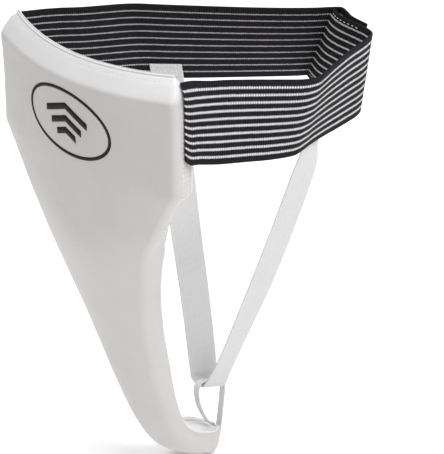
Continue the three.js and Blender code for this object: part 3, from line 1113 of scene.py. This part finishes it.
STRAP_ROUTES = {
    "right": ([
        (124.7, 98.5, -50), (123, 98.6, -58), (121.3, 98.8, -66), (117.8, 98.6, -82.5),
        (103.7, 99, -118), (71.7, 100.6, -189), (46.8, 102.7, -238), (24.2, 104.5, -281),
        (11.4, 105.6, -303.5), (7.2, 106, -311), (3.8, 106.1, -314.6), (0.0, 106.1, -315.3),
    ], through([
        (0, 111.5), (0.19, 109.5), (0.31, 92), (0.45, 88), (0.62, 96), (0.8, 94), (1, 84),
    ])),
    "left": ([
        (-48.2, 102.5, -53), (-47.4, 103.25, -60), (-46.6, 103.9, -67), (-45.8, 104.8, -80),
        (-40.3, 106.2, -125), (-30, 107, -190), (-19, 106.7, -242), (-10, 106.3, -292),
        (-8.2, 106.1, -304), (-7.2, 106.1, -311), (-3.8, 106.1, -314.6), (0.0, 106.1, -315.3),
    ], through([(0, 48), (0.25, 52), (0.6, 78), (1, 84)])),
}


def strap_relief(u, v):
    """Ribs along the strap, and slow waves where the elastic relaxes."""
    rib = 0.07 * np.cos(v * 2 * math.pi / STRAP_RIB_PITCH)
    return rib + 0.10 * wrinkle(u / 19, v / 12)


def leg_strap(side, material, thread):
    route, angle = STRAP_ROUTES[side]
    first, last = ribbon_edges(route, angle, strap_width, steps=220, lean=1)
    points, faces, uv, _ = strip(first, last, STRAP_THICKNESS, relief=strap_relief, columns=72,
                                 across=STRAP_WIDTH)
    piece = build("leg_strap_elastic_" + side, points, faces, [material], uv=uv)
    wing = "wing_" + side
    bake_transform(piece)
    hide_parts("leg_strap_" + side)
    grid = np.stack([first, last], axis=1)
    n = normals_of(grid)[:, 0]
    inward = -1 if side == "right" else 1
    if n[2, 0] * inward < 0:
        n = -n
    lift = n * (STRAP_THICKNESS / 2 + 0.12)
    low, high, start, end = 0.12, 0.88, 3, 16
    lines = []
    for share in (low, high):
        edge = first + (last - first) * share + lift
        lines.append((edge[start:end + 1], n[start:end + 1]))
    t = np.linspace(low, high, 12)[:, None]
    for row in (start, end):
        lines.append((first[row] + (last[row] - first[row]) * t + lift[row],
                      np.repeat(n[row][None], len(t), axis=0)))
    stitches("strap_tack_thread_" + side, lines, thread, wing)


def crotch_loop(material):
    route = [
        (0, 104.5, -349), (0, 99.5, -341), (0, 94, -328), (0, 92.5, -313.5), (0, 95.5, -309),
        (0, 106, -311.2), (0, 116.5, -314.2), (0, 119.5, -318.5), (0, 118.5, -332),
        (0, 116.5, -350), (0, 113.6, -366),
    ]
    first, last = ribbon_edges(route, lambda t: 0, lambda t: TAPE_WIDTH, steps=130)

    def ribs(u, v):
        return 0.07 * np.cos(v * 2 * math.pi / TAPE_RIB_PITCH)

    points, faces, uv, _ = strip(first, last, TAPE_THICKNESS, relief=ribs, columns=18,
                                 across=TAPE_WIDTH)
    piece = build("crotch_loop_tape", points, faces, [material], uv=uv, body="shield")
    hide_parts("crotch_loop")


# ---------- everything together

make_camera()
make_stage()

tape = tape_material()
white_thread = thread_material("white_thread", (0.84, 0.835, 0.83))
band_thread = thread_material("band_thread", (0.80, 0.80, 0.80))
outer_elastic = elastic_material("elastic_outer", 0.85, 1.4, (0.85, 0.84, 0.86))
# Painted shade: the left wing's inner face gets a darker copy of the stripe colour than the right
# wing's inner face.
left_inner_shaded = elastic_material("elastic_inner_left", 0.46, 0.2, (0.60, 0.59, 0.61))
right_inner = elastic_material("elastic_inner_right", 0.6, 0.25, (0.80, 0.79, 0.81))

cover_grid, cover_normals = front_cover(vinyl_material())
inner_layers(foam_material(), plate_material(), lining_material(), white_thread)
bindings(tape, white_thread)
shield_stitching(cover_grid, cover_normals, white_thread)
emblem(print_material())

right_edges = waistband_side("right", RIGHT_TOP, RIGHT_BOTTOM, outer_elastic, right_inner)
waistband_side("left", LEFT_TOP, LEFT_BOTTOM, outer_elastic, left_inner_shaded)
wing_patch("hook_fastener", "hook_patch", "wing_right", RIGHT_TOP, RIGHT_BOTTOM, -1, HOOK_ROWS,
           pile_material("hook_pile", 1.1))
wing_patch("loop_fastener", "loop_patch", "wing_left", LEFT_TOP, LEFT_BOTTOM, -1, LOOP_ROWS,
           pile_material("loop_pile", 0.7))
closure_stitching(right_edges, band_thread)

strap = strap_material()
for strap_side in ("right", "left"):
    leg_strap(strap_side, strap, white_thread)
# Painted light: the loop gets a lighter copy of the tape, its dark tone lifted to make up for the
# shade the straps cast on it.
crotch_loop(tape_material("loop_tape", (0.78, 0.77, 0.785), (0.66, 0.65, 0.665)))
